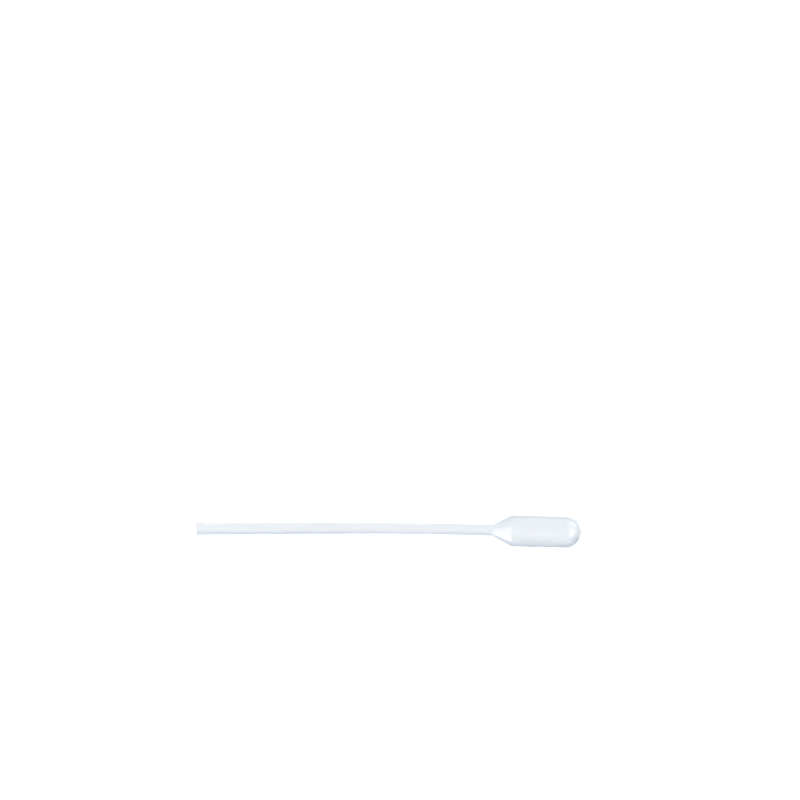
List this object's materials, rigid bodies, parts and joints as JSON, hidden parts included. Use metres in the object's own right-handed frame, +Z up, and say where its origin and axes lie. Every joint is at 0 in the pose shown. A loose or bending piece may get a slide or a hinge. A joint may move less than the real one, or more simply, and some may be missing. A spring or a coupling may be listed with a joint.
{
  "type": "transfer pipette",
  "caption": "Slim dropper pipette blown in one piece from soft translucent plastic: a straight-bored stem with raised graduation bars, a cone shoulder and a round-ended squeeze bulb.",
  "frame": {"origin": "middle of the footprint, on the bench that the pipette lies on", "axes": "+X from the open tip to the bulb, +Z up through the graduation bars, +Y across, away from the side that the stem bows towards"},
  "size_m": [0.1154, 0.0098, 0.0097],
  "materials": {
    "soft_polyethylene": "translucent, soft satin sheen"
  },
  "bodies": {
    "root": {"pipette": "soft_polyethylene"}
  },
  "joints": []
}
